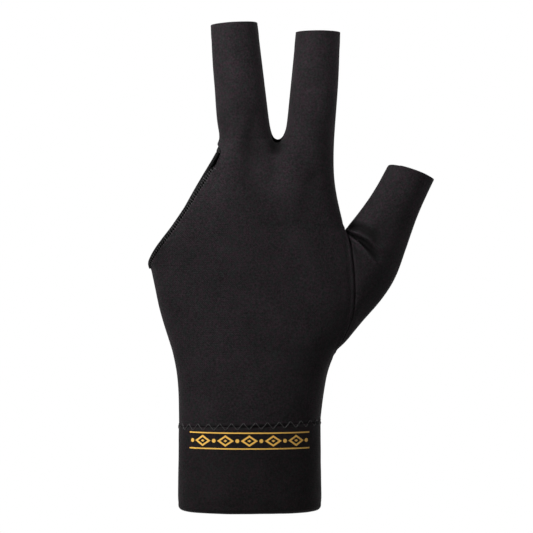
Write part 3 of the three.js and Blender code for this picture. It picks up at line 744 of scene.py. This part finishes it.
ornament_middle = (ORNAMENT_LOW + ORNAMENT_HIGH) / 2
half_height = (ORNAMENT_HIGH - ORNAMENT_LOW) / 2 - LINE_GAP
half_width = LOZENGE_WIDTH / 2
half_row = LOZENGES / 2 * ORNAMENT_PITCH
film_angles, film_way = way_round(wrist_shape, ornament_middle)


def on_cuff(way, z, height):
    """A place at a way round the cuff from its middle front, at a height above its cloth."""
    angle = np.interp(way % film_way[-1], film_way, film_angles)
    place, normal = around_wrist(wrist_shape, angle, z)
    return place + normal * height


def film_patch(mesh, outline, hole):
    """A closed plate of film between an outline and a hole in it, or over the whole outline."""
    levels = []
    for height in (FILM, -FILM_SUNK):
        rim = [mesh.verts.new(on_cuff(*point, height)) for point in outline]
        if hole:
            inner = [mesh.verts.new(on_cuff(*point, height)) for point in hole]
        else:
            middle = np.mean(outline, axis=0)
            inner = [mesh.verts.new(on_cuff(*middle, height))] * len(outline)
        levels.append((rim, inner))
    (top_rim, top_inner), (low_rim, low_inner) = levels
    for i in range(len(outline)):
        j = (i + 1) % len(outline)
        mesh.faces.new((top_rim[i], top_rim[j], low_rim[j], low_rim[i]))
        if hole:
            mesh.faces.new((top_inner[i], top_inner[j], top_rim[j], top_rim[i]))
            mesh.faces.new((low_rim[i], low_rim[j], low_inner[j], low_inner[i]))
            mesh.faces.new((low_inner[i], low_inner[j], top_inner[j], top_inner[i]))
        else:
            mesh.faces.new((top_inner[i], top_rim[j], top_rim[i]))
            mesh.faces.new((low_inner[i], low_rim[i], low_rim[j]))


def lozenge(centre, scale, count=10):
    """Points (way, z) round a lozenge, with a number of points on each of its sides."""
    corners = [(half_width, 0), (0, half_height), (-half_width, 0), (0, -half_height), (half_width, 0)]
    return [
        (
            centre + scale * (start[0] + (end[0] - start[0]) * i / count),
            ornament_middle + scale * (start[1] + (end[1] - start[1]) * i / count),
        )
        for start, end in zip(corners, corners[1:])
        for i in range(count)
    ]


def round_bead(centre, count=28):
    """Points (way, z) round a bead."""
    turns = [2 * math.pi * i / count for i in range(count)]
    return [(centre + BEAD * math.cos(turn), ornament_middle + BEAD * math.sin(turn)) for turn in turns]


film_mesh = bmesh.new()
rim_share = LOZENGE_RIM * math.hypot(half_width, half_height) / (half_width * half_height)
for i in range(LOZENGES):
    centre = (i - (LOZENGES - 1) / 2) * ORNAMENT_PITCH
    film_patch(film_mesh, lozenge(centre, 1.0), lozenge(centre, 1 - rim_share))
    film_patch(film_mesh, lozenge(centre, CORE_SHARE), None)
for i in range(LOZENGES + 1):
    film_patch(film_mesh, round_bead(i * ORNAMENT_PITCH - half_row), None)
half_line = half_row + LINE_OVERHANG
line_ways = [(2 * i / LINE_STEPS - 1) * half_line for i in range(LINE_STEPS + 1)]
for z in (ORNAMENT_LOW, ORNAMENT_HIGH):
    for start, end in zip(line_ways, line_ways[1:]):
        low, high = z - LINE_WIDTH / 2, z + LINE_WIDTH / 2
        film_patch(film_mesh, [(start, low), (end, low), (end, high), (start, high)], None)
bmesh.ops.remove_doubles(film_mesh, verts=film_mesh.verts, dist=SAME_PLACE / 2)
inside = [face for face in film_mesh.faces if all(len(edge.link_faces) > 2 for edge in face.edges)]
bmesh.ops.delete(film_mesh, geom=inside, context="FACES")
bmesh.ops.recalc_face_normals(film_mesh, faces=film_mesh.faces)
ornament_data = bpy.data.meshes.new("cuff_ornament")
film_mesh.to_mesh(ornament_data)
film_mesh.free()
ornament = bpy.data.objects.new("cuff_ornament", ornament_data)
bpy.context.scene.collection.objects.link(ornament)

# Gold foil film: a lacquer with fine gold pigment, which the knit's grain keeps from being a mirror, so
# it gives a warm, even shine.
FOIL_GRAIN = 0.7 * MM
FOIL_HEIGHT = 0.03 * MM

gold_film, gold_tree = new_material("gold_foil_film")
gold_spot = add_node(gold_tree, "ShaderNodeTexCoord")
gold_grain = add_node(
    gold_tree, "ShaderNodeTexNoise", {"Scale": 1 / FOIL_GRAIN, "Detail": 2.0},
    {"Vector": gold_spot.outputs["Object"]},
)
gold_bump = add_node(
    gold_tree, "ShaderNodeBump", {"Strength": 0.25, "Distance": FOIL_HEIGHT},
    {"Height": gold_grain.outputs["Fac"]},
)
gold_shader = add_node(
    gold_tree, "ShaderNodeBsdfPrincipled", {"Base Color": linear(0xF5BE50), "Roughness": 0.55},
    {"Normal": gold_bump.outputs[0]},
)
add_node(gold_tree, "ShaderNodeOutputMaterial", links={"Surface": gold_shader.outputs[0]})
ornament.data.materials.append(gold_film)
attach(ornament, "root")

# Hem of the slanted opening: the panels' edges turned under by about 2 mm and stitched, which leaves a
# firm narrow roll that is a little darker than the cloth. Its upper end is drawn down and in, under the
# side of the finger sleeve.
HEM_LEVELS = 2
TUCK = 1.7 * MM
TUCK_REACH = 4.5 * MM

opening_hem = copy_node("finger_opening_hem", "opening_roll")
close_seams(opening_hem, ["back_panel", "palm_panel"])
mark_sheets(opening_hem, lambda place: 0.0)
hem_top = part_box("finger_opening_hem")[1].z
for vertex in opening_hem.data.vertices:
    tuck = max(0, 1 - (hem_top - vertex.co.z) / TUCK_REACH)
    vertex.co += Vector((TUCK, 0, -TUCK)) * tuck
opening_hem.data.uv_layers.new(name="UVMap")
subdivide(opening_hem, HEM_LEVELS)

# The same jersey turned under and pressed: it lies in its own shade, so it looks almost black.
hem_jersey = jersey("folded_polyamide_elastane_jersey", 0x100E0F, 0x0E0F0F, roughness=0.85, sheen=0.03)
opening_hem.data.materials.append(hem_jersey)
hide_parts("finger_opening_hem")
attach(opening_hem, "root")

# Hem stitches: an overlock thread that catches the hem's fold to the panels in short slanted stitches.
# The thread is paler than the cloth, so the stitches show as ticks along the hem's inner line.
STITCH_STEP = 1.2 * MM
STITCH_REACH = 0.5 * MM
STITCH_SHIFT = 0.35 * STITCH_REACH
STITCH_SLANT = 0.25 * MM
STITCH_POINTS = 6
PROBE = 2 * MM
FINE_THREAD = 0.11 * MM
STITCH_LIFT = 0.9 * FINE_THREAD
STITCH_DIVE = 1.8 * FINE_THREAD
PATH_BIN = 0.8 * MM
TOP_BARE = 16 * MM

hem_shape = outer_shape([back_panel, palm_panel, opening_hem])
into_opening = Vector((-0.85, 0, 0.5))


def stitch_places(points):
    """Places every stitch along a hem's line, from the little finger's corner upwards, with the way on."""
    rows = {}
    for point in points:
        rows.setdefault(round(point.z / PATH_BIN), []).append(point)
    line = np.array([np.mean(rows[key], axis=0) for key in sorted(rows)])
    way = np.concatenate([[0], np.cumsum(np.linalg.norm(np.diff(line, axis=0), axis=1))])
    steps = np.arange(STITCH_STEP, way[-1] - TOP_BARE, STITCH_STEP)
    places = [Vector([np.interp(step, way, line[:, axis]) for axis in range(3)]) for step in steps]
    ends = [Vector([np.interp(step + MM / 2, way, line[:, axis]) for axis in range(3)]) for step in steps]
    return [(place, (end - place).normalized()) for place, end in zip(places, ends)]


stitch_paths = []
for points in (back_hem_points, palm_hem_points):
    for place, along in stitch_places(points):
        _, normal, _, _ = hem_shape.find_nearest(place)
        across = along.cross(normal).normalized()
        if across.dot(into_opening) < 0:
            across.negate()
        path = []
        for i in range(STITCH_POINTS + 1):
            share = 2 * i / STITCH_POINTS - 1
            point = place + across * (STITCH_REACH * share + STITCH_SHIFT) + along * STITCH_SLANT * share
            hit, _, _, _ = hem_shape.ray_cast(point + normal * PROBE, -normal, 2 * PROBE)
            if hit:
                path.append(hit + normal * (STITCH_LIFT - STITCH_DIVE * share**6))
        if len(path) > 2:
            stitch_paths.append(path)
hem_stitches = thread_object("hem_stitches", stitch_paths, FINE_THREAD)
hem_thread = yarn_material("fine_overlock_thread", 0x3A3839, roughness=0.6)
hem_stitches.data.materials.append(hem_thread)
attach(hem_stitches, "root")

# Photo studio: a light table of opal acrylic that runs from the floor up behind the glove and glows
# evenly, a soft box high on the left near the fingertips, a weak one on the right, one behind for the
# palm, and a camera that is level with the glove's middle.
FLOOR_Z = -0.25
SWEEP_FRONT = -3.0
SWEEP_DEPTH = 2.2
SWEEP_RADIUS = 0.8
SWEEP_STEPS = 10
SWEEP_TOP = 4.0
SWEEP_SIDE = 4.0

profile = [(SWEEP_FRONT, FLOOR_Z), (SWEEP_DEPTH, FLOOR_Z)]
for step in range(1, SWEEP_STEPS + 1):
    turn = math.pi / 2 * step / SWEEP_STEPS
    y = SWEEP_DEPTH + SWEEP_RADIUS * math.sin(turn)
    profile.append((y, FLOOR_Z + SWEEP_RADIUS * (1 - math.cos(turn))))
profile.append((SWEEP_DEPTH + SWEEP_RADIUS, SWEEP_TOP))
sweep_mesh = bmesh.new()
rows = [[sweep_mesh.verts.new((x, y, z)) for x in (-SWEEP_SIDE, SWEEP_SIDE)] for y, z in profile]
for low_row, high_row in zip(rows, rows[1:]):
    sweep_mesh.faces.new((low_row[0], low_row[1], high_row[1], high_row[0]))
sweep_data = bpy.data.meshes.new("studio_sweep")
sweep_mesh.to_mesh(sweep_data)
sweep_mesh.free()
sweep = bpy.data.objects.new("studio_sweep", sweep_data)
bpy.context.scene.collection.objects.link(sweep)
sweep.data.shade_smooth()
acrylic, acrylic_tree = new_material("lit_opal_acrylic")
glow = add_node(acrylic_tree, "ShaderNodeEmission", {"Color": (1, 1, 1, 1), "Strength": 1.0})
add_node(acrylic_tree, "ShaderNodeOutputMaterial", links={"Surface": glow.outputs[0]})
sweep.data.materials.append(acrylic)
sweep.visible_diffuse = False


def soft_box(name, place, target, size, power):
    """A square lamp, its size in metres and its power in watts, which the camera doesn't see."""
    light = bpy.data.lights.new(name, "AREA")
    light.shape = "SQUARE"
    light.size = size
    light.energy = power
    lamp = bpy.data.objects.new(name, light)
    bpy.context.scene.collection.objects.link(lamp)
    lamp.location = place
    lamp.rotation_euler = (Vector(target) - Vector(place)).to_track_quat("-Z", "Y").to_euler()
    lamp.visible_camera = False


soft_box("key_box", (-0.27, -0.185, 0.33), (0, 0, 0.13), size=0.14, power=2.7)
soft_box("fill_box", (0.16, -0.12, 0.32), (0.03, 0, 0.2), size=0.1, power=0.42)
soft_box("palm_box", (0.1, 1.2, 0.4), (0, 0, 0.1), size=0.2, power=12)

# The studio's white walls are bright to the eye, but give the glove little light.
WALL_LIGHT = 0.025
studio = bpy.data.worlds.new("studio_air")
studio.use_nodes = True
studio_tree = studio.node_tree
studio_tree.nodes.clear()
seen = add_node(studio_tree, "ShaderNodeLightPath")
strength = add_node(
    studio_tree, "ShaderNodeMapRange", {"To Min": WALL_LIGHT, "To Max": 1.0},
    {"Value": seen.outputs["Is Camera Ray"]},
)
walls = add_node(
    studio_tree, "ShaderNodeBackground", {"Color": (1, 1, 1, 1)}, {"Strength": strength.outputs[0]}
)
add_node(studio_tree, "ShaderNodeOutputWorld", links={"Surface": walls.outputs[0]})
bpy.context.scene.world = studio

# The picture is 533 pixels wide, and at the glove, one metre off, a pixel is 0.44 mm.
EYE = Vector((0.0074, -1.0, 0.1071))
PICTURE_WIDTH = 533
PIXELS_PER_METRE = 2272.7
SENSOR_WIDTH = 36
FOCAL = SENSOR_WIDTH * -EYE.y * PIXELS_PER_METRE / PICTURE_WIDTH
camera = bpy.data.objects.new("camera", bpy.data.cameras.new("camera"))
camera.data.lens = FOCAL
camera.location = EYE
camera.rotation_euler = (math.pi / 2, 0, 0)
bpy.context.scene.collection.objects.link(camera)
bpy.context.scene.camera = camera
bpy.context.scene.view_settings.view_transform = "Standard"
